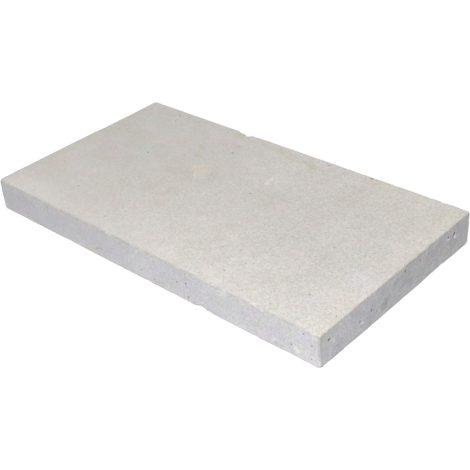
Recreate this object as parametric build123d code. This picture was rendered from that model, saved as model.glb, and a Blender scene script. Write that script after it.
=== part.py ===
from build123d import *
import math
import os

# Travertine pool coping stone, trade format 61 x 33 x 5 cm, in millimetres.
# One sawn block of natural stone with tumbled edges, flaked arrises and open pores.
# The origin is the middle of the bed. X runs along the pool, Y away from the water, Z up.

# Trade format
LENGTH = 610.0
WIDTH = 330.0
THICKNESS = 50.0

# Tumbled edges
WORN_CORNER_RADIUS = 2.4
CRISP_CORNER_RADIUS = 1.6
TOP_ARRIS_RADIUS = 0.9
BED_ARRIS_RADIUS = 1.3

# A pore has a few flat broken sides. Its outline swells and narrows by this share.
PORE_SIDES = 8
PORE_UNEVENNESS = 0.16

# It narrows from its mouth to a smaller floor that lies to one side, as shares of its width
PORE_DEPTH = 0.7
PORE_LEAN = 0.22
FLOOR_SHARE = 0.45

# How far a pore's cutting form stands out of its face
CUT_OVERLAP = 0.25

# Scattered pores of the sides that face away: evenly spread sizes between these two
SCATTER_SMALLEST = 1.8
SCATTER_LARGEST = 4.6
SCATTER_SLENDERNESS = 0.72
SCATTER_REACH_ALONG = 0.92
SCATTER_REACH_UP = 0.76

# Irrational steps that never repeat, so scattered pores don't line up
GOLDEN_STEP = (math.sqrt(5) - 1) / 2
PLASTIC_STEP = 0.7548776662
TURN_STEP = 137.5

# Outward direction of each face, and the way its own x runs. Its y runs up, or back on top and bed.
FACE_DIRECTIONS = {
    "top": ((0, 0, 1), (1, 0, 0)),
    "bed": ((0, 0, -1), (1, 0, 0)),
    "front": ((0, -1, 0), (1, 0, 0)),
    "back": ((0, 1, 0), (-1, 0, 0)),
    "right": ((1, 0, 0), (0, 1, 0)),
    "left": ((-1, 0, 0), (0, -1, 0)),
}

# Deep flakes broken off the arrises. Each has its two faces, its place as a share of the
# arris from the middle, its length along the arris, and its depth at 45 degrees.
FLAKES = [
    ("top", "back", -0.149, 17.0, 7.2),
    ("top", "back", -0.165, 24.0, 2.5),
    ("top", "back", -0.128, 22.0, 1.1),
    ("top", "back", 0.398, 9.0, 1.1),
    ("top", "back", 0.433, 10.0, 1.4),
    ("bed", "front", 0.187, 27.0, 3.1),
    ("bed", "front", 0.208, 17.0, 1.4),
    ("bed", "front", -0.245, 26.0, 1.6),
    ("bed", "front", 0.022, 16.0, 1.3),
    ("top", "left", 0.143, 24.0, 1.5),
    ("top", "left", 0.335, 15.0, 1.1),
    ("bed", "right", 0.288, 22.0, 2.2),
    ("bed", "right", -0.462, 20.0, 2.2),
    ("top", "right", -0.170, 9.0, 1.2),
    ("top", "front", -0.405, 13.0, 1.3),
    ("top", "front", -0.268, 10.0, 1.2),
    ("top", "front", -0.092, 16.0, 1.4),
    ("top", "front", 0.130, 11.0, 1.2),
    ("top", "front", 0.338, 15.0, 1.5),
    ("bed", "back", 0.315, 24.0, 3.0),
    ("bed", "back", 0.281, 15.0, 2.0),
    ("bed", "back", -0.226, 18.0, 2.2),
    ("bed", "left", -0.190, 20.0, 2.6),
    ("left", "back", 0.120, 15.0, 2.6),
    ("right", "back", 0.250, 12.0, 1.7),
]

# Lengths of arris that tumbling wore down, stated the same way
WORN_LENGTHS = [
    ("top", "left", 0.290, 170.0, 1.15),
    ("top", "front", -0.210, 150.0, 0.8),
    ("top", "front", 0.230, 130.0, 0.9),
    ("bed", "front", -0.250, 110.0, 0.9),
    ("bed", "front", 0.430, 80.0, 1.2),
    ("bed", "right", -0.360, 90.0, 1.3),
    ("bed", "right", 0.250, 100.0, 1.5),
    ("bed", "back", 0.020, 130.0, 1.3),
]

# Corners of the block that tumbling knocked down: their three faces, and the depth along the
# diagonal. The facet that is left is part of a large ball.
KNOCK_RADIUS = 60.0
KNOCKED_CORNERS = [
    ("top", "front", "left", 3.0),
    ("top", "front", "right", 1.4),
    ("top", "back", "left", 2.3),
    ("top", "back", "right", 2.2),
    ("bed", "front", "left", 2.7),
    ("bed", "front", "right", 3.5),
    ("bed", "back", "left", 2.2),
    ("bed", "back", "right", 3.2),
]

# Pores that a person sees from the pool: face, shares of the face from its middle along
# its x and y, longest way, width, and turn of the longest way from the face's x in degrees.
SEEN_PORES = [
    ("top", -0.116, 0.315, 4.4, 3.0, -50.0),
    ("top", -0.125, 0.288, 3.2, 2.2, -30.0),
    ("top", -0.125, 0.379, 3.0, 1.8, -55.0),
    ("top", -0.379, 0.455, 3.6, 2.4, -55.0),
    ("top", -0.348, 0.466, 3.4, 2.4, -40.0),
    ("top", -0.366, 0.402, 3.0, 1.9, -45.0),
    ("top", -0.385, 0.385, 2.2, 1.6, -20.0),
    ("top", -0.297, 0.087, 3.6, 2.7, -25.0),
    ("top", 0.054, 0.085, 4.6, 2.0, -30.0),
    ("top", 0.151, -0.291, 2.8, 2.1, 10.0),
    ("top", 0.121, 0.479, 4.8, 3.2, -60.0),
    ("top", 0.244, 0.488, 3.8, 2.4, 0.0),
    ("top", -0.088, 0.118, 3.2, 2.0, -50.0),
    ("top", -0.189, 0.207, 2.6, 1.8, -60.0),
    ("top", 0.254, 0.167, 2.6, 1.6, -50.0),
    ("top", -0.311, -0.318, 2.8, 1.9, 35.0),
    ("front", 0.146, 0.060, 4.2, 3.2, 60.0),
    ("front", 0.119, -0.020, 3.0, 2.2, 50.0),
    ("front", 0.084, 0.075, 2.6, 1.8, 20.0),
    ("front", 0.150, -0.340, 4.0, 3.0, 25.0),
    ("front", 0.479, -0.310, 2.6, 2.0, 70.0),
    ("front", 0.480, 0.095, 3.0, 2.1, 60.0),
    ("front", 0.430, -0.160, 3.2, 2.0, 50.0),
    ("front", 0.147, 0.390, 3.2, 1.7, 10.0),
    ("front", -0.313, 0.350, 5.0, 1.9, 5.0),
    ("right", -0.447, 0.180, 6.0, 3.2, -15.0),
    ("right", -0.400, -0.190, 2.6, 1.9, 20.0),
    ("right", -0.370, -0.250, 2.2, 1.6, 0.0),
    ("right", -0.262, -0.070, 4.2, 3.0, 60.0),
    ("right", -0.192, -0.020, 5.8, 3.4, 80.0),
    ("right", -0.158, -0.170, 3.0, 2.0, -30.0),
    ("right", 0.028, 0.320, 4.6, 3.4, -40.0),
    ("right", 0.236, -0.120, 2.6, 1.8, 0.0),
    ("right", 0.336, 0.240, 4.8, 3.2, -60.0),
    ("right", 0.380, 0.210, 6.6, 3.6, 5.0),
]

# Scattered pores: face, the area in square mm that each one has to itself, and where along
# its steps that face begins
SCATTERED_PORES = [
    ("back", 2800.0, 3),
    ("left", 2000.0, 21),
    ("bed", 17000.0, 40),
]


def block_size():
    """The block's three sizes in X, Y and Z."""
    return Vector(LENGTH, WIDTH, THICKNESS)


def along(size, direction):
    """How far a size in X, Y and Z reaches along one of the three directions."""
    return abs(size.X * direction.X) + abs(size.Y * direction.Y) + abs(size.Z * direction.Z)


def face_plane(face):
    """A plane on the named face, at its middle, with z pointing out of the stone."""
    outward, x_way = FACE_DIRECTIONS[face]
    outward = Vector(*outward)
    middle = Vector(0, 0, THICKNESS / 2)
    origin = middle + outward * (along(block_size(), outward) / 2)
    return Plane(origin=origin, x_dir=x_way, z_dir=outward)


def arris_plane(face_a, face_b, share):
    """A plane across a sharp arris, a share of its length from its middle, with x pointing out."""
    out_a = Vector(*FACE_DIRECTIONS[face_a][0])
    out_b = Vector(*FACE_DIRECTIONS[face_b][0])
    run = Vector(1 - abs(out_a.X + out_b.X), 1 - abs(out_a.Y + out_b.Y), 1 - abs(out_a.Z + out_b.Z))
    size = block_size()
    middle = Vector(0, 0, THICKNESS / 2)
    corner = out_a * (along(size, out_a) / 2) + out_b * (along(size, out_b) / 2)
    point = middle + corner + run * (share * along(size, run))
    return Plane(origin=point, x_dir=out_a + out_b, z_dir=run)


def corner_plane(*faces):
    """A plane at the sharp corner where three faces meet, with x pointing out along the diagonal."""
    outwards = [Vector(*FACE_DIRECTIONS[face][0]) for face in faces]
    corner = Vector(0, 0, THICKNESS / 2)
    for outward in outwards:
        corner += outward * (along(block_size(), outward) / 2)
    diagonal = outwards[0] + outwards[1] + outwards[2]
    level = Vector(-diagonal.Y, diagonal.X, 0)
    return Plane(origin=corner, x_dir=diagonal, z_dir=diagonal.cross(level))


def knock(face_a, face_b, face_c, depth):
    """A large ball that knocks a corner of the block down by the depth asked."""
    return corner_plane(face_a, face_b, face_c) * Pos(KNOCK_RADIUS - depth, 0, 0) * Sphere(KNOCK_RADIUS)


def scoop(face_a, face_b, share, chord, depth):
    """A ball that takes a shell-shaped flake off an arris, as long as chord and as deep as depth."""
    radius = (chord**2 / 4 + depth**2) / (2 * depth)
    return arris_plane(face_a, face_b, share) * Pos(radius - depth, 0, 0) * Sphere(radius)


def pore_outline(longest, width, phase):
    """An uneven many-sided outline, as long and as wide as asked, that differs with its phase."""
    corners = []
    for side in range(PORE_SIDES):
        angle = math.tau * side / PORE_SIDES
        swell = 1 + PORE_UNEVENNESS * math.sin(3 * angle + math.radians(phase))
        corners.append((swell * longest / 2 * math.cos(angle), swell * width / 2 * math.sin(angle)))
    return make_face(Polyline(corners, close=True))


def pore(face, share_x, share_y, longest, width, turn):
    """A leaning hollow let into a face, its longest way turned from the face's x."""
    plane = face_plane(face)
    size = block_size()
    place_x = share_x * along(size, plane.x_dir)
    place_y = share_y * along(size, plane.y_dir)
    phase = 360 * (share_x + share_y) + turn
    mouth = Pos(0, 0, CUT_OVERLAP) * pore_outline(longest, width, phase)
    floor = pore_outline(FLOOR_SHARE * longest, FLOOR_SHARE * width, phase)
    hollow = loft([mouth, Pos(PORE_LEAN * width, 0, -PORE_DEPTH * width) * floor], ruled=True)
    return plane * Pos(place_x, place_y, 0) * Rot(0, 0, turn) * hollow


def scattered_pores(face, area_each, first_step):
    """Pores spread over a face that looks away from the pool, no two alike."""
    plane = face_plane(face)
    area = along(block_size(), plane.x_dir) * along(block_size(), plane.y_dir)
    hollows = []
    for index in range(round(area / area_each)):
        step = first_step + index
        share_x = SCATTER_REACH_ALONG * (step * GOLDEN_STEP % 1 - 0.5)
        share_y = SCATTER_REACH_UP * (step * PLASTIC_STEP % 1 - 0.5)
        growth = (step * GOLDEN_STEP * GOLDEN_STEP % 1) ** 2
        longest = SCATTER_SMALLEST + (SCATTER_LARGEST - SCATTER_SMALLEST) * growth
        width = SCATTER_SLENDERNESS * longest
        hollows.append(pore(face, share_x, share_y, longest, width, step * TURN_STEP))
    return hollows


def tumbled_block():
    """The sawn block with its upright corners and its arrises rounded by tumbling."""
    outline = Rectangle(LENGTH, WIDTH)
    crisp_corner = outline.vertices().sort_by(Axis.X)[-2:].sort_by(Axis.Y)[0]
    worn_corners = outline.vertices() - [crisp_corner]
    outline = fillet(worn_corners, WORN_CORNER_RADIUS)
    crisp_corner = outline.vertices().sort_by_distance((LENGTH / 2, -WIDTH / 2))[0]
    outline = fillet(crisp_corner, CRISP_CORNER_RADIUS)
    block = extrude(outline, THICKNESS)
    block = fillet(block.faces().sort_by(Axis.Z)[-1].edges(), TOP_ARRIS_RADIUS)
    return fillet(block.faces().sort_by(Axis.Z)[0].edges(), BED_ARRIS_RADIUS)


def coping_stone():
    """The finished stone: the tumbled block, less its flakes, worn lengths, corners and pores."""
    flakes = [scoop(*flake) for flake in FLAKES + WORN_LENGTHS]
    flakes += [knock(*corner) for corner in KNOCKED_CORNERS]
    pores = [pore(*hollow) for hollow in SEEN_PORES]
    for scatter in SCATTERED_PORES:
        pores += scattered_pores(*scatter)
    return tumbled_block() - flakes - pores


os.makedirs("parts", exist_ok=True)
stone = coping_stone()
export_step(stone, "parts/coping_stone.step")
print("coping_stone", len(stone.solids()), "solid", round(stone.volume / 1000), "cm3")
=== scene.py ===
"""Travertine pool coping stone, dressed for a plain studio photograph.

Everything is in metres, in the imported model's own frame. The bed lies on z = 0, X runs along the pool
and Y away from the water.
"""
import logging
import math
import random
from dataclasses import dataclass
from dataclasses import field
from enum import Enum
from typing import Any
from typing import Optional
from typing import Sequence
from typing import Union

import bmesh
import bpy
from mathutils import Euler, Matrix
from mathutils import Vector
from mathutils import kdtree
from mathutils import noise
from mathutils.bvhtree import BVHTree


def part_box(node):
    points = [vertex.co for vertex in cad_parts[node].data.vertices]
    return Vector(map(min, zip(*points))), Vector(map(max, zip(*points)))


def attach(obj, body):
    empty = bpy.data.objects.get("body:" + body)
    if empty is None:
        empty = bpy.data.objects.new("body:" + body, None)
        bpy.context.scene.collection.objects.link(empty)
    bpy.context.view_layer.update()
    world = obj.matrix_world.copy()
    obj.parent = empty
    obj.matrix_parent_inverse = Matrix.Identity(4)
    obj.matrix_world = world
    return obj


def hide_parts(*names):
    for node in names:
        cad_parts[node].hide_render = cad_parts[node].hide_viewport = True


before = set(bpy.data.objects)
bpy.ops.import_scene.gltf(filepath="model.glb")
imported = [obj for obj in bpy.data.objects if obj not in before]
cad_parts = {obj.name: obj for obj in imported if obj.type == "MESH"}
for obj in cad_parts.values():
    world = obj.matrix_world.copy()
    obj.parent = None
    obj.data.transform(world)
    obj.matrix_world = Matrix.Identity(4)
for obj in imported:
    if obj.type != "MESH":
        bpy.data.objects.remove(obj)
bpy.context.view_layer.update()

log = logging.getLogger("coping")

Colour = tuple[float, float, float, float]
Place = tuple[float, float, float]
Socket = bpy.types.NodeSocket
Value = Union[float, Place, Colour, Socket]
Grained = tuple[Socket, Socket]
Span = tuple[Socket, float, float]

MILLIMETRE = 0.001
WHITE = (1.0, 1.0, 1.0, 1.0)
BLACK = (0.0, 0.0, 0.0, 1.0)


def tone(red: int, green: int, blue: int) -> Colour:
    """Gives a display colour of 0 to 255 as the linear colour that a shader reads.

    Args:
        red: Red of the display colour.
        green: Green of the display colour.
        blue: Blue of the display colour.

    Returns:
        The linear colour with an alpha of 1.
    """
    linear = []
    for level in (red, green, blue):
        share = level / 255
        linear.append(share / 12.92 if share <= 0.04045 else ((share + 0.055) / 1.055) ** 2.4)
    return (linear[0], linear[1], linear[2], 1.0)


def grey(level: float) -> Colour:
    """Gives a linear grey with an alpha of 1."""
    return (level, level, level, 1.0)


def eased(value: float, low: float, high: float) -> float:
    """Gives 0 below low, 1 above high and a smooth step between.

    Args:
        value: The number to ease.
        low: Where the step starts.
        high: Where the step ends.

    Returns:
        A number from 0 to 1.
    """
    share = min(1.0, max(0.0, (value - low) / (high - low)))
    return share * share * (3 - 2 * share)


def tree_of(places: Sequence[Vector]) -> kdtree.KDTree:
    """Sorts places so that the one nearest to a point is found fast.

    Args:
        places: The places. Their order gives their numbers.

    Returns:
        The search tree.
    """
    tree = kdtree.KDTree(len(places))
    for index, place in enumerate(places):
        tree.insert(place, index)
    tree.balance()
    return tree


class Face(Enum):
    """A face of the block: the axis that it looks along, and which way."""

    TOP = (2, 1)
    BED = (2, -1)
    FRONT = (1, -1)
    BACK = (1, 1)
    RIGHT = (0, 1)
    LEFT = (0, -1)

    @property
    def axis(self) -> int:
        """The number of the axis that the face looks along."""
        return self.value[0]

    @property
    def sign(self) -> int:
        """1 if the face looks along its axis, and -1 if it looks the other way."""
        return self.value[1]


@dataclass(frozen=True)
class Wear:
    """How far tumbling and weather took the stone down, in metres."""

    swell_depth: float = 0.12 * MILLIMETRE
    swell_length: float = 70 * MILLIMETRE
    arris_depth: float = 0.45 * MILLIMETRE
    arris_reach: float = 4.5 * MILLIMETRE
    arris_falloff: float = 1.6
    arris_length: float = 20 * MILLIMETRE
    arris_bias: float = 0.12
    battered_depth: float = 1.3 * MILLIMETRE
    battered_full: float = 6 * MILLIMETRE
    battered_reach: float = 12 * MILLIMETRE
    nick_depth: float = 0.5 * MILLIMETRE
    nick_length: float = 5 * MILLIMETRE
    nick_sharpness: float = 1.5
    seed_offset: Place = (3.7, 11.2, 5.4)


@dataclass(frozen=True)
class PinPores:
    """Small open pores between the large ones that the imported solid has."""

    counts: dict[Face, int] = field(
        default_factory=lambda: {
            Face.TOP: 18,
            Face.BED: 18,
            Face.FRONT: 14,
            Face.BACK: 14,
            Face.RIGHT: 8,
            Face.LEFT: 8,
        }
    )
    smallest: float = 0.45 * MILLIMETRE
    largest: float = 1.15 * MILLIMETRE
    depth_share: float = 1.15
    raggedness: float = 0.3
    ragged_length: float = 0.9 * MILLIMETRE
    edge_room: float = 6 * MILLIMETRE
    pore_room: float = 3 * MILLIMETRE
    seed: int = 61


@dataclass(frozen=True)
class Marks:
    """Where the mesh notes pores and flakes for the material to colour, the pores with painted shade, in
    metres.
    """

    rounding: float = 0.9 * MILLIMETRE
    rounding_reach: float = 2.5 * MILLIMETRE
    hollow_least: float = 0.1 * MILLIMETRE
    hollow_room: float = 3 * MILLIMETRE
    face_start: float = 4 * MILLIMETRE
    face_full: float = 7 * MILLIMETRE
    flake_start: float = 0.3 * MILLIMETRE
    flake_full: float = 1.3 * MILLIMETRE
    arris_zone: float = 16 * MILLIMETRE


@dataclass
class StoneBody:
    """The stone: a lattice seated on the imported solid, then worn and pitted."""

    node: str = "coping_stone"
    slot: str = "travertine"
    grid_step: float = 5.4 * MILLIMETRE
    edge_stations: tuple[float, ...] = (
        0.8 * MILLIMETRE,
        1.7 * MILLIMETRE,
        2.8 * MILLIMETRE,
        4.2 * MILLIMETRE,
        6.4 * MILLIMETRE,
    )
    arris_band: float = 5 * MILLIMETRE
    arris_step: float = 1.9 * MILLIMETRE
    pore_reach: float = 2.1 * MILLIMETRE
    pore_step: float = 0.5 * MILLIMETRE
    pin_step_least: float = 0.7
    pin_step_share: float = 0.55
    pin_reach_share: float = 1.2
    step_growth: float = 0.55
    step_slack: float = 1.45
    refine_rounds: int = 5
    core_inset: float = 8 * MILLIMETRE
    weld_gap: float = 1e-6
    cut_gap: float = 1e-7
    wear: Wear = Wear()
    marks: Marks = Marks()
    pin_pores: PinPores = field(default_factory=PinPores)

    def __post_init__(self) -> None:
        """Reads the block's box and surface from the frame, and places the small pores."""
        self.low, self.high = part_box(self.node)
        solid = bmesh.new()
        solid.from_mesh(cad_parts[self.node].data)
        bmesh.ops.remove_doubles(solid, verts=solid.verts[:], dist=self.weld_gap)
        self.surface = BVHTree.FromBMesh(solid)
        self.large_pores = self._pore_places(solid)
        solid.free()
        self.small_pores = self._scatter()
        self.pin_tree = tree_of([place for place, _ in self.small_pores])

    def _plane(self, face: Face) -> float:
        """Where a face's plane lies along the face's own axis."""
        return (self.high if face.sign > 0 else self.low)[face.axis]

    def _depths(self, point: Vector) -> list[float]:
        """Measures how far a point is from the block's six planes.

        Args:
            point: A place on or in the block.

        Returns:
            The six distances, nearest first.
        """
        gaps = [point[axis] - self.low[axis] for axis in range(3)]
        gaps += [self.high[axis] - point[axis] for axis in range(3)]
        return sorted(gaps)

    def _on_face(self, point: Vector) -> Vector:
        """Moves a point straight out to the plane of its nearest face.

        Args:
            point: A place on or in the block.

        Returns:
            The place on the plane.
        """
        face = min(Face, key=lambda near: abs(self._plane(near) - point[near.axis]))
        moved = point.copy()
        moved[face.axis] = self._plane(face)
        return moved

    def _pore_places(self, solid: bmesh.types.BMesh) -> kdtree.KDTree:
        """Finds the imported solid's pores and flakes.

        Args:
            solid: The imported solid's mesh with its doubles merged.

        Returns:
            A tree of the places on the block's planes that lie over a hollow.
        """
        places = []
        for vertex in solid.verts:
            nearest, second = self._depths(vertex.co)[:2]
            hollow = nearest > self.marks.hollow_least and second > self.marks.hollow_room
            if hollow or nearest > self.marks.rounding:
                places.append(self._on_face(vertex.co))
        return tree_of(places)

    def _scatter(self) -> list[tuple[Vector, float]]:
        """Strews the small pores over the faces, clear of the edges.

        Returns:
            The place and the radius of each small pore.
        """
        pins = self.pin_pores
        draw = random.Random(pins.seed)
        pores = []
        for face in Face:
            for _ in range(pins.counts[face]):
                place = Vector([
                    draw.uniform(low + pins.edge_room, high - pins.edge_room)
                    for low, high in zip(self.low, self.high)
                ])
                place[face.axis] = self._plane(face)
                radius = pins.smallest + draw.random() ** 2 * (pins.largest - pins.smallest)
                if self.large_pores.find(place)[2] > pins.pore_room:
                    pores.append((place, radius))
        return pores

    def _stations(self, axis: int) -> list[float]:
        """Cut positions along one axis.

        Args:
            axis: The number of the axis.

        Returns:
            Positions that are close together beside both ends and even between.
        """
        low, high = self.low[axis], self.high[axis]
        first = low + self.edge_stations[-1]
        last = high - self.edge_stations[-1]
        steps = max(1, round((last - first) / self.grid_step))
        middle = [first + (last - first) * step / steps for step in range(1, steps)]
        starts = [low + station for station in self.edge_stations]
        ends = [high - station for station in self.edge_stations]
        return starts + middle + ends

    def _lattice(self) -> bmesh.types.BMesh:
        """Makes the block's box and cuts it into a lattice.

        Returns:
            The box with its faces cut at every station.
        """
        mesh = bmesh.new()
        bmesh.ops.create_cube(mesh, size=1.0)
        bmesh.ops.scale(mesh, vec=self.high - self.low, verts=mesh.verts)
        bmesh.ops.translate(mesh, vec=(self.high + self.low) / 2, verts=mesh.verts)
        for axis in (2, 1, 0):
            across = Vector((0.0, 0.0, 0.0))
            across[axis] = 1.0
            for station in self._stations(axis):
                everything = mesh.verts[:] + mesh.edges[:] + mesh.faces[:]
                bmesh.ops.bisect_plane(
                    mesh, geom=everything, plane_co=across * station, plane_no=across, dist=self.cut_gap
                )
        return mesh

    def _wanted_step(self, point: Vector) -> float:
        """How long an edge may be at a place on the block.

        Args:
            point: A place on the lattice.

        Returns:
            The length, short beside pores and arrises.
        """
        step = self.grid_step
        arris = self._depths(point)[1]
        step = min(step, self.arris_step + self.step_growth * max(0.0, arris - self.arris_band))
        large = self.large_pores.find(point)[2]
        step = min(step, self.pore_step + self.step_growth * max(0.0, large - self.pore_reach))
        _, index, gap = self.pin_tree.find(point)
        radius = self.small_pores[index][1]
        fine = max(self.pore_step * self.pin_step_least, radius * self.pin_step_share)
        return min(step, fine + self.step_growth * max(0.0, gap - radius * self.pin_reach_share))

    def _refine(self, mesh: bmesh.types.BMesh) -> None:
        """Splits the lattice's edges until none is longer than wanted.

        Args:
            mesh: The lattice.
        """
        for _ in range(self.refine_rounds):
            long_edges = []
            for edge in mesh.edges:
                middle = (edge.verts[0].co + edge.verts[1].co) / 2
                if edge.calc_length() > self.step_slack * self._wanted_step(middle):
                    long_edges.append(edge)
            if not long_edges:
                break
            bmesh.ops.subdivide_edges(mesh, edges=long_edges, cuts=1, use_grid_fill=True)
        bmesh.ops.triangulate(mesh, faces=mesh.faces[:], quad_method="BEAUTY", ngon_method="BEAUTY")

    def _inward(self, point: Vector) -> Vector:
        """The way into the stone, square to a face and slanting near its arrises.

        Args:
            point: A place on the block.

        Returns:
            A direction of length 1 towards the block's core.
        """
        inset = self.core_inset
        core = Vector([
            min(max(along, low + inset), high - inset)
            for along, low, high in zip(point, self.low, self.high)
        ])
        return (core - point).normalized()

    def _small_pore_depth(self, point: Vector) -> float:
        """Measures how deep the nearest small pore is at a place on the block.

        Args:
            point: A place on the block.

        Returns:
            The depth along the way into the stone, 0 outside the pore.
        """
        pins = self.pin_pores
        _, index, gap = self.pin_tree.find(point)
        radius = self.small_pores[index][1]
        ragged = 1 + pins.raggedness * noise.noise(point / pins.ragged_length)
        reach = gap / (radius * ragged)
        if reach >= 1:
            return 0.0
        return pins.depth_share * radius * math.sqrt(1 - reach * reach)

    def _worn_depth(self, point: Vector) -> float:
        """How far wear took the surface down at a place on the block.

        Args:
            point: A place on the block.

        Returns:
            The depth along the way into the stone.
        """
        wear = self.wear
        shifted = point + Vector(wear.seed_offset)
        swell = 0.5 + 0.5 * noise.noise(shifted / wear.swell_length)
        depth = wear.swell_depth * swell
        arris = self._depths(point)[1]
        closeness = max(0.0, 1 - arris / wear.arris_reach) ** wear.arris_falloff
        if closeness > 0:
            top, front = self.high.z, self.low.y
            battered = eased(point.z, top - wear.battered_reach, top - wear.battered_full)
            battered *= 1 - eased(point.y, front + wear.battered_full, front + wear.battered_reach)
            most = wear.arris_depth + (wear.battered_depth - wear.arris_depth) * battered
            broad = noise.fractal(shifted / wear.arris_length, 0.9, 2.1, 3)
            nick = noise.noise(shifted / wear.nick_length)
            depth += closeness * most * max(0.0, broad + wear.arris_bias)
            depth += closeness * wear.nick_depth * max(0.0, nick) ** wear.nick_sharpness
        return depth

    def _seat(self, mesh: bmesh.types.BMesh) -> None:
        """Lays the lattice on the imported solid, sinks the small pores and wears the surface.

        Args:
            mesh: The lattice. It gets the hollow, flake and arris attributes.
        """
        marks = self.marks
        hollow_layer = mesh.verts.layers.float.new("hollow")
        flake_layer = mesh.verts.layers.float.new("flake")
        arris_layer = mesh.verts.layers.float.new("arris")
        for vertex in mesh.verts:
            start = vertex.co.copy()
            inward = self._inward(start)
            hit = self.surface.ray_cast(start - inward * MILLIMETRE, inward)[0]
            seated = hit if hit is not None else start
            sunk = (seated - start).length
            arris = self._depths(start)[1]
            rounding = marks.rounding * eased(marks.rounding_reach - arris, 0.0, marks.rounding_reach)
            pore = self._small_pore_depth(start)
            away = eased(arris, marks.face_start, marks.face_full)
            broken = eased(sunk, rounding + marks.flake_start, rounding + marks.flake_full)
            # How deep a vertex sinks sets the painted shade of its pore.
            vertex[hollow_layer] = min(1.0, away * (sunk + pore) / MILLIMETRE)
            vertex[flake_layer] = (1 - away) * broken
            # The arris value places the painted shade line along the arrises.
            vertex[arris_layer] = max(0.0, 1 - arris / marks.arris_zone)
            vertex.co = seated + inward * (pore + self._worn_depth(start))

    def build(self, finish: "TravertineFinish") -> bpy.types.Object:
        """Makes the stone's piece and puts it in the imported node's place.

        Args:
            finish: The stone's material.

        Returns:
            The new piece.
        """
        mesh = self._lattice()
        self._refine(mesh)
        self._seat(mesh)
        for face in mesh.faces:
            face.smooth = True
        data = bpy.data.meshes.new("weathered_stone")
        mesh.to_mesh(data)
        mesh.free()
        piece = bpy.data.objects.new("weathered_stone", data)
        bpy.context.scene.collection.objects.link(piece)
        data.materials.append(finish.material(self.low, self.high))
        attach(piece, "root")
        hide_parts(self.node)
        log.info("%s: %d triangles", piece.name, len(data.polygons))
        return piece


class Graph:
    """A node tree with short calls that add nodes and join their sockets."""

    def __init__(self, tree: bpy.types.NodeTree) -> None:
        """Keeps the tree that the nodes go into."""
        self.tree = tree

    def add(self, kind: str, inputs: Optional[dict] = None, **settings: Any) -> bpy.types.Node:
        """Adds one node.

        Args:
            kind: The node's type.
            inputs: Names or numbers of sockets, each with a value or with a socket to join.
            settings: The node's own options.

        Returns:
            The new node.
        """
        node = self.tree.nodes.new(kind)
        for name, value in settings.items():
            setattr(node, name, value)
        for key, value in (inputs or {}).items():
            if isinstance(value, bpy.types.NodeSocket):
                self.tree.links.new(value, node.inputs[key])
            else:
                node.inputs[key].default_value = value
        return node

    def math(self, operation: str, first: Value, second: Value = 0.0, third: Value = 0.0) -> Socket:
        """Adds a Math node and gives its output."""
        node = self.add("ShaderNodeMath", {0: first, 1: second, 2: third}, operation=operation)
        return node.outputs[0]

    def step(self, value: Value, low: Value, high: Value) -> Socket:
        """Adds a smooth step from 0 at low to 1 at high and gives its output."""
        inputs = {"Value": value, "From Min": low, "From Max": high}
        return self.add("ShaderNodeMapRange", inputs, interpolation_type="SMOOTHSTEP").outputs["Result"]

    def mix(self, share: Value, first: Value, second: Value, blend: str = "MIX") -> Socket:
        """Adds a colour mix and gives its output."""
        node = self.add("ShaderNodeMix", {0: share, 6: first, 7: second}, data_type="RGBA", blend_type=blend)
        return node.outputs[2]

    def noise(self, vector: Socket, size: float, detail: float = 2.0, rough: float = 0.5) -> Socket:
        """Adds a noise whose features are about size metres wide, and gives its value."""
        inputs = {"Vector": vector, "Scale": 1 / size, "Detail": detail, "Roughness": rough}
        return self.add("ShaderNodeTexNoise", inputs).outputs["Fac"]

    def attribute(self, name: str) -> Socket:
        """Adds an Attribute node and gives the mesh attribute's value."""
        return self.add("ShaderNodeAttribute", attribute_name=name).outputs["Fac"]

    def group(self, tree: bpy.types.NodeTree, inputs: dict) -> bpy.types.Node:
        """Places a shared effect in this tree, with its own values."""
        return self.add("ShaderNodeGroup", inputs, node_tree=tree)


class Effect:
    """Starts a shader node group with named inputs and outputs."""

    def __init__(self, name: str, inputs: dict[str, tuple[str, Any]], outputs: dict[str, str]) -> None:
        """Makes the group's tree and its sockets.

        Args:
            name: The group's name.
            inputs: Each input's kind and starting value.
            outputs: Each output's kind.
        """
        self.tree = bpy.data.node_groups.new(name, "ShaderNodeTree")
        for label, (kind, value) in inputs.items():
            socket = self.tree.interface.new_socket(label, in_out="INPUT", socket_type="NodeSocket" + kind)
            socket.default_value = value
        for label, kind in outputs.items():
            self.tree.interface.new_socket(label, in_out="OUTPUT", socket_type="NodeSocket" + kind)
        self.graph = Graph(self.tree)
        self.source = self.tree.nodes.new("NodeGroupInput")
        self.sink = self.tree.nodes.new("NodeGroupOutput")

    def read(self, label: str) -> Socket:
        """The group's input with that label."""
        return self.source.outputs[label]

    def give(self, label: str, socket: Socket) -> None:
        """Joins a socket to the group's output with that label."""
        self.tree.links.new(socket, self.sink.inputs[label])


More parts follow.
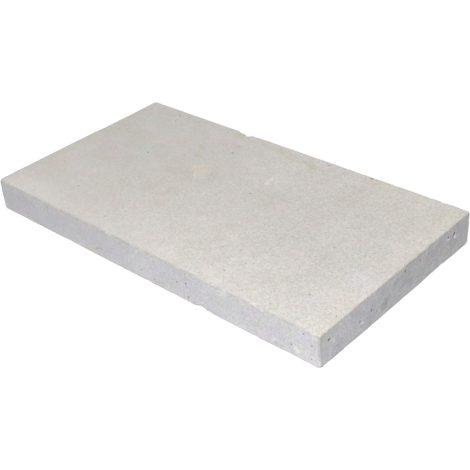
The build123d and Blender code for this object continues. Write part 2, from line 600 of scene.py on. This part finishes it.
def stain_effect() -> bpy.types.NodeTree:
    """Builds the stain: a soft patch with a ragged border.

    Returns:
        The node group. Its mask is 1 in the patch and 0 outside.
    """
    effect = Effect(
        "Stain",
        {
            "Vector": ("Vector", (0.0, 0.0, 0.0)),
            "Centre": ("Vector", (0.0, 0.0, 0.0)),
            "Turn": ("Vector", (0.0, 0.0, 0.0)),
            "Reach": ("Vector", (1.0, 1.0, 1.0)),
            "Ragged": ("Float", 0.0),
            "Softness": ("Float", 0.6),
        },
        {"Mask": "Float"},
    )
    graph = effect.graph
    mapping = graph.add(
        "ShaderNodeMapping",
        {
            "Vector": effect.read("Vector"),
            "Location": effect.read("Centre"),
            "Rotation": effect.read("Turn"),
            "Scale": effect.read("Reach"),
        },
        vector_type="TEXTURE",
    )
    length = graph.add("ShaderNodeVectorMath", {0: mapping.outputs[0]}, operation="LENGTH").outputs["Value"]
    uneven = graph.math("ADD", length, effect.read("Ragged"))
    inner = graph.math("SUBTRACT", 1.0, effect.read("Softness"))
    outer = graph.math("ADD", 1.0, effect.read("Softness"))
    outside = graph.step(uneven, inner, outer)
    effect.give("Mask", graph.math("SUBTRACT", 1.0, outside))
    return effect.tree


def grain_effect() -> bpy.types.NodeTree:
    """Builds the fine grain: speckles of crystal and clay with a little height.

    Returns:
        The node group. Its tint lies about 0.5, and its height is in metres.
    """
    effect = Effect(
        "Grain",
        {
            "Vector": ("Vector", (0.0, 0.0, 0.0)),
            "Size": ("Float", 0.0015),
            "Height": ("Float", 0.0001),
        },
        {"Tint": "Float", "Height": "Float"},
    )
    graph = effect.graph
    finer = 2.6
    sparkle_share = 0.35
    scale = graph.math("DIVIDE", 1.0, effect.read("Size"))
    clay = graph.add(
        "ShaderNodeTexNoise",
        {"Vector": effect.read("Vector"), "Scale": scale, "Detail": 3.0, "Roughness": 0.65},
    ).outputs["Fac"]
    crystals = graph.add(
        "ShaderNodeTexVoronoi",
        {"Vector": effect.read("Vector"), "Scale": graph.math("MULTIPLY", scale, finer)},
        feature="F1",
    )
    sparkle = graph.add("ShaderNodeSeparateColor", {0: crystals.outputs["Color"]}).outputs[0]
    dimmed = graph.math("MULTIPLY", clay, 1 - sparkle_share)
    tint = graph.math("MULTIPLY_ADD", sparkle, sparkle_share, dimmed)
    effect.give("Tint", tint)
    height = graph.math("MULTIPLY", graph.math("SUBTRACT", tint, 0.5), effect.read("Height"))
    effect.give("Height", height)
    return effect.tree


def pinhole_effect() -> bpy.types.NodeTree:
    """Builds pinholes: open pores too small for the mesh, in some cells of a cell pattern.

    Returns:
        The node group. Its mask is 1 in a hole, and its depth is in metres.
    """
    effect = Effect(
        "Pinholes",
        {
            "Vector": ("Vector", (0.0, 0.0, 0.0)),
            "Spacing": ("Float", 0.006),
            "Radius": ("Float", 0.0006),
            "Share": ("Float", 0.3),
        },
        {"Mask": "Float", "Depth": "Float"},
    )
    graph = effect.graph
    size_spread = 0.7
    size_least = 0.5
    flat_floor = 0.45
    scale = graph.math("DIVIDE", 1.0, effect.read("Spacing"))
    cells = graph.add("ShaderNodeTexVoronoi", {"Vector": effect.read("Vector"), "Scale": scale}, feature="F1")
    chance = graph.add("ShaderNodeSeparateColor", {0: cells.outputs["Color"]})
    present = graph.math("LESS_THAN", chance.outputs[0], effect.read("Share"))
    size = graph.math("MULTIPLY_ADD", chance.outputs[1], size_spread, size_least)
    radius = graph.math("MULTIPLY", effect.read("Radius"), size)
    distance = graph.math("MULTIPLY", cells.outputs["Distance"], effect.read("Spacing"))
    inside = graph.step(distance, radius, graph.math("MULTIPLY", radius, flat_floor))
    mask = graph.math("MULTIPLY", inside, present)
    effect.give("Mask", mask)
    effect.give("Depth", graph.math("MULTIPLY", mask, radius))
    return effect.tree


class Lie(Enum):
    """How a stain's patch lies: flat on the top, or on the front or the right face."""

    TOP = (0, 0, 1)
    FRONT = (0, 1, 0)
    RIGHT = (1, 0, 0)


@dataclass(frozen=True)
class Stain:
    """A patch of another colour, in millimetres from the middle of the bed."""

    lie: Lie
    centre: Place
    reach: tuple[float, float]
    turn: float
    colour: Colour
    strength: float
    softness: float = 0.6
    depth: float = 9

    def sizes(self) -> tuple[Place, Place, Place]:
        """Works out the patch's place, turn and reach in metres and radians.

        Returns:
            The centre, the turn about each axis and the half sizes along each axis.
        """
        across, up = self.reach[0] * MILLIMETRE, self.reach[1] * MILLIMETRE
        centre = tuple(number * MILLIMETRE for number in self.centre)
        turn = tuple(math.radians(self.turn) * part for part in self.lie.value)
        deep = self.depth * MILLIMETRE
        reach = {
            Lie.TOP: (across, up, deep),
            Lie.FRONT: (across, deep, up),
            Lie.RIGHT: (deep, across, up),
        }[self.lie]
        return centre, turn, reach


YELLOW = tone(192, 188, 160)
STRAW = tone(224, 212, 184)
OCHRE = tone(203, 193, 170)
CREAM = tone(230, 230, 204)
PINK = tone(217, 203, 213)
ROSE = tone(208, 189, 191)
OLIVE = tone(196, 197, 176)
GREEN = tone(203, 216, 209)
BLUE = tone(212, 216, 224)
CHALK = tone(240, 238, 234)
SLATE = tone(130, 130, 142)
RUST = tone(212, 184, 176)
EARTH_AND_PORE_SHADE = tone(150, 138, 122)
# An earthy stain colour, also used as painted shade in one pore on the top.
DUSK = tone(198, 196, 222)
PLUM = tone(176, 160, 170)
FROST = tone(232, 230, 228)
ASH = tone(186, 184, 182)

STAINS = (
    Stain(Lie.TOP, (52, 141, 50), (16, 7), -28, YELLOW, 0.54),
    Stain(Lie.TOP, (14, 146, 50), (44, 8), -6, YELLOW, 0.22),
    Stain(Lie.TOP, (39, 151, 50), (6, 4), 0, DUSK, 0.32),
    Stain(Lie.TOP, (-35, 150, 50), (34, 8), -4, YELLOW, 0.14),
    Stain(Lie.TOP, (-99, 152, 50), (13, 7), -25, YELLOW, 0.38),
    Stain(Lie.TOP, (175, 156, 50), (16, 5), -6, STRAW, 0.30),
    Stain(Lie.TOP, (290, 86, 50), (14, 66), 0, CREAM, 0.12, 0.8),
    Stain(Lie.TOP, (-75, 37, 50), (18, 13), -45, STRAW, 0.29, 0.45),
    Stain(Lie.TOP, (-70, 18, 50), (13, 2.4), -48, CHALK, 0.24),
    Stain(Lie.TOP, (-40, 30, 50), (11, 8), -35, ROSE, 0.18),
    Stain(Lie.TOP, (-121, 90, 50), (12, 5), -45, YELLOW, 0.34),
    Stain(Lie.TOP, (-113, 67, 50), (10, 4), -45, YELLOW, 0.38),
    Stain(Lie.TOP, (-197, 61, 50), (17, 5), 32, STRAW, 0.24),
    Stain(Lie.TOP, (-162, 86, 50), (20, 6), 35, OCHRE, 0.24),
    Stain(Lie.TOP, (31, 68, 50), (2.6, 12), 14, CHALK, 0.28),
    Stain(Lie.TOP, (35, 60, 50), (6, 2.4), 25, CHALK, 0.30),
    Stain(Lie.TOP, (-257, 49, 50), (42, 27), -40, OCHRE, 0.15, 0.4),
    Stain(Lie.TOP, (-296, 10, 50), (9, 120), 0, OLIVE, 0.34),
    Stain(Lie.TOP, (-269, -82, 50), (40, 16), -36, OCHRE, 0.22, 0.4),
    Stain(Lie.TOP, (-222, -26, 50), (44, 7), 6, OCHRE, 0.12),
    Stain(Lie.TOP, (-236, 6, 50), (40, 14), -20, PINK, 0.30, 0.5),
    Stain(Lie.TOP, (-125, 127, 50), (17, 11), -45, PINK, 0.34, 0.5),
    Stain(Lie.TOP, (-107, -107, 50), (18, 7), -28, ROSE, 0.24),
    Stain(Lie.TOP, (-183, 20, 50), (22, 12), -40, GREEN, 0.24),
    Stain(Lie.TOP, (-261, 113, 50), (16, 11), -35, GREEN, 0.30),
    Stain(Lie.TOP, (275, -48, 50), (28, 15), -32, BLUE, 0.26, 0.9),
    Stain(Lie.TOP, (258, -114, 50), (15, 18), -30, BLUE, 0.18, 0.8),
    Stain(Lie.TOP, (244, 140, 50), (66, 26), -6, CREAM, 0.10, 0.8),
    Stain(Lie.TOP, (-262, -146, 50), (60, 22), 0, FROST, 0.18, 0.8),
    Stain(Lie.TOP, (-22, -118, 50), (34, 30), 0, FROST, 0.16, 0.8),
    Stain(Lie.TOP, (182, -18, 50), (80, 76), 0, ASH, 0.22, 0.8),
    Stain(Lie.TOP, (-234, 18, 50), (66, 50), 0, ASH, 0.22, 0.8),
    # Painted shade: this small dark patch darkens a pore by the back arris.
    Stain(Lie.TOP, (149, 161.5, 49), (2.6, 1.4), -10, EARTH_AND_PORE_SHADE, 0.75),
    Stain(Lie.FRONT, (-98, -165, 8), (13, 7), -28, OLIVE, 0.42),
    Stain(Lie.FRONT, (-82, -165, 14), (9, 1.4), -22, SLATE, 0.42),
    # These two patches darken the upper front below the top arris.
    Stain(Lie.FRONT, (-125, -165, 38), (38, 13), 0, ASH, 0.26, 0.8),
    Stain(Lie.FRONT, (196, -165, 36), (72, 14), 0, ASH, 0.16, 0.8),
    Stain(Lie.FRONT, (-194, -165, 22), (30, 16), 0, BLUE, 0.22, 0.8),
    Stain(Lie.FRONT, (155, -165, 42), (8, 3), -28, CHALK, 0.28),
    Stain(Lie.FRONT, (235, -165, 12), (5, 2), -20, CHALK, 0.25),
    Stain(Lie.FRONT, (261, -165, 13), (3.5, 7), 0, PLUM, 0.22),
    Stain(Lie.FRONT, (269, -165, 15), (6, 4), -20, CHALK, 0.30),
    Stain(Lie.FRONT, (286, -165, 9), (24, 11), -14, CREAM, 0.06, 0.8),
    Stain(Lie.RIGHT, (305, -18, 27), (30, 5), 32, EARTH_AND_PORE_SHADE, 0.17, 0.8),
    Stain(Lie.RIGHT, (305, -36, 18), (8, 4), 20, SLATE, 0.34, 0.8),
    Stain(Lie.RIGHT, (305, -8, 37), (8, 4), 32, SLATE, 0.21, 0.8),
    Stain(Lie.RIGHT, (305, 3, 47), (4, 2.4), 10, RUST, 0.40),
    Stain(Lie.RIGHT, (305, 122, 20), (11, 10), -30, EARTH_AND_PORE_SHADE, 0.08),
    Stain(Lie.RIGHT, (305, 138, 22), (30, 24), 0, EARTH_AND_PORE_SHADE, 0.08, 0.8),
    Stain(Lie.RIGHT, (305, 60, 35), (46, 11), -8, EARTH_AND_PORE_SHADE, 0.22, 0.8),
    Stain(Lie.RIGHT, (305, 47, 31), (26, 6), -14, BLUE, 0.18),
    Stain(Lie.RIGHT, (305, -47, 13.5), (2.6, 1.5), -20, CHALK, 0.26),
    Stain(Lie.RIGHT, (305, -82.8, 18.4), (3.9, 2.1), -35, FROST, 0.72),
    Stain(Lie.RIGHT, (305, -112, 40), (22, 8), 0, SLATE, 0.09, 0.8),
    Stain(Lie.RIGHT, (305, -141, 29), (4.6, 1.9), -35, CHALK, 0.24),
    Stain(Lie.RIGHT, (305, 129.5, 31), (3.5, 2.0), -20, CHALK, 1.0),
    Stain(Lie.RIGHT, (305, 114, 33.5), (2.6, 2.0), 0, CHALK, 1.0),
)


@dataclass(frozen=True)
class Surface:
    """One finish of the stone: its colours, its grain and its pinholes."""

    pale: Colour
    body: Colour
    deep: Colour
    warm: Colour
    cool: Colour
    cloud_size: float
    hue_size: float
    grain_size: float
    grain_share: float
    grain_rise: float
    grain_height: float
    hole_spacing: float
    hole_radius: float
    hole_share: float


TUMBLED_TOP = Surface(
    pale=tone(215, 210, 205),
    body=tone(207, 202, 197),
    deep=tone(198, 192, 186),
    warm=tone(208, 201, 196),
    cool=tone(205, 203, 197),
    cloud_size=0.110,
    hue_size=0.044,
    grain_size=0.0040,
    grain_share=0.11,
    grain_rise=0.10,
    grain_height=0.00014,
    hole_spacing=0.0056,
    hole_radius=0.0008,
    hole_share=0.50,
)

# The sawn sides' colours are partly their own greyer tone and partly painted light: a cooler, darker grey for
# the cool light and shade on the sides.
SAWN_SIDE_WITH_COOL_SHADE = Surface(
    pale=tone(204, 203, 206),
    body=tone(195, 194, 198),
    deep=tone(184, 183, 187),
    warm=tone(194, 195, 193),
    cool=tone(198, 193, 201),
    cloud_size=0.050,
    hue_size=0.034,
    grain_size=0.0036,
    grain_share=0.14,
    grain_rise=0.11,
    grain_height=0.00050,
    hole_spacing=0.0060,
    hole_radius=0.0007,
    hole_share=0.36,
)


@dataclass(frozen=True)
class StainBorder:
    """How the stains' borders wander, in metres, and how ragged they are."""

    wander_scale: float = 34.0
    wander: float = 0.018
    ragged_size: float = 0.006
    raggedness: float = 1.6


@dataclass(frozen=True)
class Sawing:
    """Where the tumbled top gives way to the sawn sides and these to the bed, in metres."""

    ragged_size: float = 0.014
    ragged_low: float = 0.30
    ragged_high: float = 0.72
    border_least: float = 0.0008
    border_swing: float = 0.0034
    start_share: float = 0.6
    bed_start: float = 0.0005
    bed_full: float = 0.0012
    right_start: float = 0.020
    right_full: float = 0.004


@dataclass(frozen=True)
class Edges:
    """Tints beside the arrises, among them a painted shade line along the arrises, and where they start and
    end, in metres or shares of an arris.
    """

    glaze_tint: Colour = (1.0, 0.99, 0.945, 1.0)
    glaze_start: float = 0.002
    glaze_end: float = 0.009
    rubbed_tint: Colour = (1.045, 1.045, 1.050, 1.0)
    rubbed_start: float = 0.006
    rubbed_reach: float = 0.050
    half_rubbed: float = 0.5
    foot_tint: Colour = (1.048, 1.048, 1.040, 1.0)
    foot_start: float = 0.004
    foot_height: float = 0.022
    # Painted shade: the tint below darkens a thin line along the arrises.
    arris_shade_tint: Colour = (0.79, 0.79, 0.80, 1.0)
    arris_shade_start: float = 0.84
    arris_shade_full: float = 0.96
    sawn_start_shift: float = -0.12
    sawn_full_shift: float = -0.02
    sharp_start: float = 0.010
    sharp_full: float = 0.004
    sharp_start_shift: float = 0.06
    sharp_full_shift: float = 0.04
    bed_start: float = 0.006
    bed_full: float = 0.020


@dataclass(frozen=True)
class Hollows:
    """The painted shade of pores and pinholes, the colour of flakes, and how strongly they show."""

    # Painted shade: this dark brown stands in for the shade inside pores and pinholes.
    colour: Colour = tone(74, 68, 64)
    start: float = 0.04
    full: float = 0.40
    pore_shade: float = 0.56
    # These add painted shade to the pores on the sawn sides, and more on the right end.
    sawn_extra: float = 0.06
    right_extra: float = 0.18
    pinhole_shade: float = 0.55
    broken_colour: Colour = tone(212, 209, 202)
    broken_share: float = 0.45


@dataclass(frozen=True)
class TravertineFinish:
    """The stone's material: a tumbled top, sawn sides partly tinted with painted cool shade, stains, grain,
    and pores darkened with painted shade.
    """

    top: Surface = TUMBLED_TOP
    side: Surface = SAWN_SIDE_WITH_COOL_SHADE
    stains: tuple[Stain, ...] = STAINS
    stain_border: StainBorder = StainBorder()
    sawing: Sawing = Sawing()
    edges: Edges = Edges()
    hollows: Hollows = Hollows()
    small_clouds: float = 4.2
    small_share: float = 0.4
    cloud_span: float = 0.18
    hue_span: float = 0.14
    top_contrast: float = 0.70
    side_contrast: float = 0.65
    right_contrast: float = 0.75
    speckle_span: float = 0.20
    roughness: float = 0.82
    shine: float = 0.3

    def _clouds(self, graph: Graph, place: Socket, surface: Surface, contrast: Value) -> Socket:
        """Blends one finish's three colours by two sizes of cloud, and two hues by a third.

        Args:
            graph: The material's graph.
            place: Object coordinates.
            surface: The finish.
            contrast: How strongly the pale and the deep clouds show.

        Returns:
            The clouded colour.
        """
        broad = graph.noise(place, surface.cloud_size, 3.0, 0.55)
        small = graph.noise(place, surface.cloud_size / self.small_clouds, 5.0, 0.7)
        rest = graph.math("MULTIPLY", broad, 1 - self.small_share)
        blend = graph.math("MULTIPLY_ADD", small, self.small_share, rest)
        darker = graph.step(blend, 0.5, 0.5 - self.cloud_span)
        paler = graph.step(blend, 0.5, 0.5 + self.cloud_span)
        hue = graph.noise(place, surface.hue_size, 3.0, 0.6)
        colour = graph.mix(graph.step(hue, 0.5, 0.5 + self.hue_span), surface.body, surface.warm)
        colour = graph.mix(graph.step(hue, 0.5, 0.5 - self.hue_span), colour, surface.cool)
        colour = graph.mix(graph.math("MULTIPLY", darker, contrast), colour, surface.deep)
        return graph.mix(graph.math("MULTIPLY", paler, contrast), colour, surface.pale)

    def _stained(self, graph: Graph, place: Socket, colour: Socket) -> Socket:
        """Lays every stain over a colour.

        Args:
            graph: The material's graph.
            place: Object coordinates.
            colour: The colour below.

        Returns:
            The stained colour.
        """
        border = self.stain_border
        shared = stain_effect()
        drift = graph.add(
            "ShaderNodeTexNoise", {"Vector": place, "Scale": border.wander_scale, "Detail": 2.0}
        )
        offset = graph.add(
            "ShaderNodeVectorMath", {0: drift.outputs["Color"], 1: (0.5, 0.5, 0.5)}, operation="SUBTRACT"
        )
        warped = graph.add(
            "ShaderNodeVectorMath",
            {0: offset.outputs[0], 1: (border.wander, border.wander, border.wander), 2: place},
            operation="MULTIPLY_ADD",
        ).outputs[0]
        fine = graph.noise(place, border.ragged_size, 4.0, 0.65)
        ragged = graph.math("MULTIPLY", graph.math("SUBTRACT", fine, 0.5), border.raggedness)
        for stain in self.stains:
            centre, turn, reach = stain.sizes()
            patch = graph.group(
                shared,
                {
                    "Vector": warped,
                    "Centre": centre,
                    "Turn": turn,
                    "Reach": reach,
                    "Ragged": ragged,
                    "Softness": stain.softness,
                },
            )
            share = graph.math("MULTIPLY", patch.outputs["Mask"], stain.strength)
            colour = graph.mix(share, colour, stain.colour)
        return colour

    def _edged(
        self, graph: Graph, colour: Socket, arris: Socket, sawn: Socket, gaps: dict[Face, Socket]
    ) -> Socket:
        """Paints shade as a darker line along the arrises, pales the top where it is rubbed, and pales the
        foot of the sides.

        Args:
            graph: The material's graph.
            colour: The colour below.
            arris: How near an arris is, from 0 at the reach of the wear to 1 on it.
            sawn: 1 on the sawn sides and 0 on the top.
            gaps: The distance from some of the block's faces.

        Returns:
            The colour with its edges.
        """
        edges = self.edges
        tumbled = graph.math("SUBTRACT", 1.0, sawn)
        beside = graph.math("MINIMUM", gaps[Face.RIGHT], gaps[Face.BACK])
        beside = graph.step(beside, edges.rubbed_reach, edges.rubbed_start)
        rubbed = graph.step(gaps[Face.FRONT], edges.rubbed_reach, edges.rubbed_start)
        rubbed = graph.math("MAXIMUM", rubbed, graph.math("MULTIPLY", beside, edges.half_rubbed))
        rubbed = graph.math("MULTIPLY", rubbed, tumbled)
        colour = graph.mix(rubbed, colour, edges.rubbed_tint, "MULTIPLY")
        foot = graph.step(gaps[Face.BED], edges.foot_height, edges.foot_start)
        colour = graph.mix(graph.math("MULTIPLY", foot, sawn), colour, edges.foot_tint, "MULTIPLY")
        # Painted shade: a darker line along the arrises, wider on the sawn sides, narrower near the right
        # end, and stopping above the bed.
        sharper = graph.step(gaps[Face.RIGHT], edges.sharp_start, edges.sharp_full)
        sharper = graph.math("MULTIPLY", sharper, tumbled)
        start = graph.math("MULTIPLY_ADD", sharper, edges.sharp_start_shift, edges.arris_shade_start)
        start = graph.math("MULTIPLY_ADD", sawn, edges.sawn_start_shift, start)
        full = graph.math("MULTIPLY_ADD", sharper, edges.sharp_full_shift, edges.arris_shade_full)
        full = graph.math("MULTIPLY_ADD", sawn, edges.sawn_full_shift, full)
        above_bed = graph.step(gaps[Face.BED], edges.bed_start, edges.bed_full)
        dimmed = graph.math("MULTIPLY", graph.step(arris, start, full), above_bed)
        return graph.mix(dimmed, colour, edges.arris_shade_tint, "MULTIPLY")

    def _sawn_mask(self, graph: Graph, place: Socket, below_top: Socket, above_bed: Socket) -> Socket:
        """Tells the sawn sides from the tumbled top and the bed, with a ragged border.

        Args:
            graph: The material's graph.
            place: Object coordinates.
            below_top: The distance below the top.
            above_bed: The height above the bed.

        Returns:
            1 on the sides, 0 on the top and the bed.
        """
        sawing = self.sawing
        ragged = graph.noise(place, sawing.ragged_size, 5.0, 0.65)
        ragged = graph.step(ragged, sawing.ragged_low, sawing.ragged_high)
        border = graph.math("MULTIPLY_ADD", ragged, sawing.border_swing, sawing.border_least)
        from_top = graph.step(below_top, graph.math("MULTIPLY", border, sawing.start_share), border)
        from_bed = graph.step(above_bed, sawing.bed_start, sawing.bed_full)
        return graph.math("MULTIPLY", from_top, from_bed)

    def _grained(self, graph: Graph, place: Socket, colour: Socket, sawn: Socket, span: Span) -> Grained:
        """Lays grain and pinholes over a colour, the pinholes darkened with painted shade.

        Args:
            graph: The material's graph.
            place: Object coordinates.
            colour: The colour below.
            sawn: 1 on the sawn sides and 0 on the top.
            span: The object's X, and the X of its left and right ends.

        Returns:
            The grained colour and the height of the grain and the pinholes, in metres.
        """
        rightward = graph.step(*span)
        grain_tree = grain_effect()
        hole_tree = pinhole_effect()
        heights = []
        for surface, share in ((self.top, graph.math("SUBTRACT", 1.0, sawn)), (self.side, sawn)):
            grain = graph.group(
                grain_tree, {"Vector": place, "Size": surface.grain_size, "Height": surface.grain_height}
            )
            holes = graph.group(
                hole_tree,
                {
                    "Vector": place,
                    "Spacing": surface.hole_spacing,
                    "Radius": surface.hole_radius,
                    "Share": surface.hole_share,
                },
            )
            speckle = graph.step(grain.outputs["Tint"], 0.5 - self.speckle_span, 0.5 + self.speckle_span)
            contrast = graph.math("MULTIPLY_ADD", rightward, surface.grain_rise, surface.grain_share)
            level = graph.math("MULTIPLY_ADD", graph.math("SUBTRACT", speckle, 0.5), contrast, 1.0)
            shade = graph.add("ShaderNodeCombineColor", {0: level, 1: level, 2: level}).outputs[0]
            colour = graph.mix(share, colour, graph.mix(1.0, colour, shade, "MULTIPLY"))
            # Painted shade: the pinholes, too small for the mesh, are darkened with the hollow colour.
            hole = graph.math("MULTIPLY", holes.outputs["Mask"], share)
            hole = graph.math("MULTIPLY", hole, self.hollows.pinhole_shade)
            colour = graph.mix(hole, colour, self.hollows.colour)
            height = graph.math("SUBTRACT", grain.outputs["Height"], holes.outputs["Depth"])
            heights.append(graph.math("MULTIPLY", height, share))
        return colour, graph.math("ADD", heights[0], heights[1])

    def _pored(self, graph: Graph, colour: Socket, sawn: Socket, right_side: Socket) -> Socket:
        """Colours the flakes and darkens the pores with painted shade, by the mesh's own attributes.

        Args:
            graph: The material's graph.
            colour: The colour below.
            sawn: 1 on the sawn sides and 0 on the top.
            right_side: 1 on the right end and 0 away from it.

        Returns:
            The colour with its flakes and pores.
        """
        hollows = self.hollows
        broken = graph.math("MULTIPLY", graph.attribute("flake"), hollows.broken_share)
        colour = graph.mix(broken, colour, hollows.broken_colour)
        # Painted shade: the pores darken by how deep the mesh sinks there, more on the sides and on the right
        # end.
        pore_shade = graph.math("MULTIPLY_ADD", sawn, hollows.sawn_extra, hollows.pore_shade)
        pore_shade = graph.math("MULTIPLY_ADD", right_side, hollows.right_extra, pore_shade)
        sunk = graph.step(graph.attribute("hollow"), hollows.start, hollows.full)
        return graph.mix(graph.math("MULTIPLY", sunk, pore_shade), colour, hollows.colour)

    def material(self, low: Vector, high: Vector) -> bpy.types.Material:
        """Builds the stone's material.

        Args:
            low: The block's lowest corner.
            high: The block's highest corner.

        Returns:
            The material.
        """
        material = bpy.data.materials.new("travertine")
        material.use_nodes = True
        graph = Graph(material.node_tree)
        shader = material.node_tree.nodes["Principled BSDF"]
        place = graph.add("ShaderNodeTexCoord").outputs["Object"]
        parts = graph.add("ShaderNodeSeparateXYZ", {0: place}).outputs
        below_top = graph.math("SUBTRACT", high.z, parts["Z"])
        gaps = {
            Face.FRONT: graph.math("SUBTRACT", parts["Y"], low.y),
            Face.BACK: graph.math("SUBTRACT", high.y, parts["Y"]),
            Face.RIGHT: graph.math("SUBTRACT", high.x, parts["X"]),
            Face.BED: graph.math("SUBTRACT", parts["Z"], low.z),
        }
        sawn = self._sawn_mask(graph, place, below_top, gaps[Face.BED])
        right_side = graph.step(gaps[Face.RIGHT], self.sawing.right_start, self.sawing.right_full)

        top_colour = self._clouds(graph, place, self.top, self.top_contrast)
        side_contrast = graph.math("MULTIPLY_ADD", right_side, self.right_contrast, self.side_contrast)
        side_colour = self._clouds(graph, place, self.side, side_contrast)
        # Painted light: the side colour is partly a cooler, darker grey for the light and shade that fall on
        # the sides.
        colour = graph.mix(sawn, top_colour, side_colour)
        edges = self.edges
        glazed = graph.step(below_top, edges.glaze_start, edges.glaze_end)
        glazed = graph.math("MULTIPLY", graph.math("SUBTRACT", 1.0, glazed), sawn)
        colour = graph.mix(glazed, colour, edges.glaze_tint, "MULTIPLY")
        colour = self._stained(graph, place, colour)
        colour, height = self._grained(graph, place, colour, sawn, (parts["X"], low.x, high.x))
        colour = self._edged(graph, colour, graph.attribute("arris"), sawn, gaps)
        colour = self._pored(graph, colour, sawn, right_side)

        bump = graph.add("ShaderNodeBump", {"Strength": 1.0, "Distance": 1.0, "Height": height})
        material.node_tree.links.new(colour, shader.inputs["Base Color"])
        material.node_tree.links.new(bump.outputs[0], shader.inputs["Normal"])
        shader.inputs["Roughness"].default_value = self.roughness
        shader.inputs["Specular IOR Level"].default_value = self.shine
        return material


@dataclass
class Studio:
    """The pale floor, the soft lights and the camera."""

    camera_place: Place = (0.811326, -0.807257, 0.724980)
    camera_turn: Place = (56.8437, 3.6556, 41.9477)
    lens: float = 71.258
    sensor: float = 36.0
    sight: float = 50.0
    floor_size: float = 12.0
    floor_bounce: float = 0.25
    floor_glow: float = 0.30
    sky: float = 0.65
    key_place: Place = (0.792, -1.145, 0.72)
    key_size: float = 0.9
    key_power: float = 18.2

    def _seen_directly(self, graph: Graph) -> Socket:
        """Tells what the camera, a reflection or a refraction sees from bounced light.

        Args:
            graph: The graph of the floor or of the sky.

        Returns:
            1 for what is seen and 0 for bounced light.
        """
        path = graph.add("ShaderNodeLightPath")
        seen = graph.math("MAXIMUM", path.outputs["Is Camera Ray"], path.outputs["Is Glossy Ray"])
        return graph.math("MAXIMUM", seen, path.outputs["Is Transmission Ray"])

    def build_floor(self) -> bpy.types.Object:
        """Makes the floor, which looks white and keeps the stone's shadow.

        Returns:
            The floor.
        """
        mesh = bmesh.new()
        bmesh.ops.create_grid(mesh, x_segments=1, y_segments=1, size=self.floor_size / 2)
        data = bpy.data.meshes.new("studio_floor")
        mesh.to_mesh(data)
        mesh.free()
        floor = bpy.data.objects.new("studio_floor", data)
        bpy.context.scene.collection.objects.link(floor)
        material = bpy.data.materials.new("studio_floor")
        material.use_nodes = True
        graph = Graph(material.node_tree)
        shader = material.node_tree.nodes["Principled BSDF"]
        seen = self._seen_directly(graph)
        colour = graph.mix(seen, grey(self.floor_bounce), WHITE)
        material.node_tree.links.new(colour, shader.inputs["Base Color"])
        glow = graph.mix(seen, BLACK, grey(self.floor_glow))
        material.node_tree.links.new(glow, shader.inputs["Emission Color"])
        shader.inputs["Emission Strength"].default_value = 1.0
        shader.inputs["Roughness"].default_value = 1.0
        shader.inputs["Specular IOR Level"].default_value = 0.0
        data.materials.append(material)
        return floor

    def build_lights(self) -> None:
        """Makes the even sky and the soft key light over the front right of the stone."""
        world = bpy.data.worlds.new("studio_sky")
        bpy.context.scene.world = world
        world.use_nodes = True
        graph = Graph(world.node_tree)
        background = world.node_tree.nodes["Background"]
        seen = self._seen_directly(graph)
        glow = graph.mix(seen, grey(self.sky), WHITE)
        world.node_tree.links.new(glow, background.inputs["Color"])
        lamp = bpy.data.lights.new("key_light", "AREA")
        lamp.shape = "DISK"
        lamp.size = self.key_size
        lamp.energy = self.key_power
        key = bpy.data.objects.new("key_light", lamp)
        bpy.context.scene.collection.objects.link(key)
        key.location = self.key_place
        aim = Vector((0.0, 0.0, 0.0)) - Vector(self.key_place)
        key.rotation_euler = aim.to_track_quat("-Z", "Y").to_euler()

    def build_camera(self) -> None:
        """Makes the camera where the photograph was taken from."""
        data = bpy.data.cameras.new("photograph_camera")
        data.lens = self.lens
        data.sensor_width = self.sensor
        data.clip_end = self.sight
        camera = bpy.data.objects.new("photograph_camera", data)
        bpy.context.scene.collection.objects.link(camera)
        camera.location = self.camera_place
        camera.rotation_euler = Euler([math.radians(angle) for angle in self.camera_turn], "XYZ")
        bpy.context.scene.camera = camera

    def build(self) -> None:
        """Builds the whole studio."""
        self.build_floor()
        self.build_lights()
        self.build_camera()
        bpy.context.scene.view_settings.view_transform = "Standard"


def main() -> None:
    """Builds the stone and its studio."""
    logging.basicConfig(level=logging.INFO)
    stone = StoneBody().build(TravertineFinish())
    log.info("stone built: %s", stone.name)
    Studio().build()


if __name__ == "__main__":
    main()
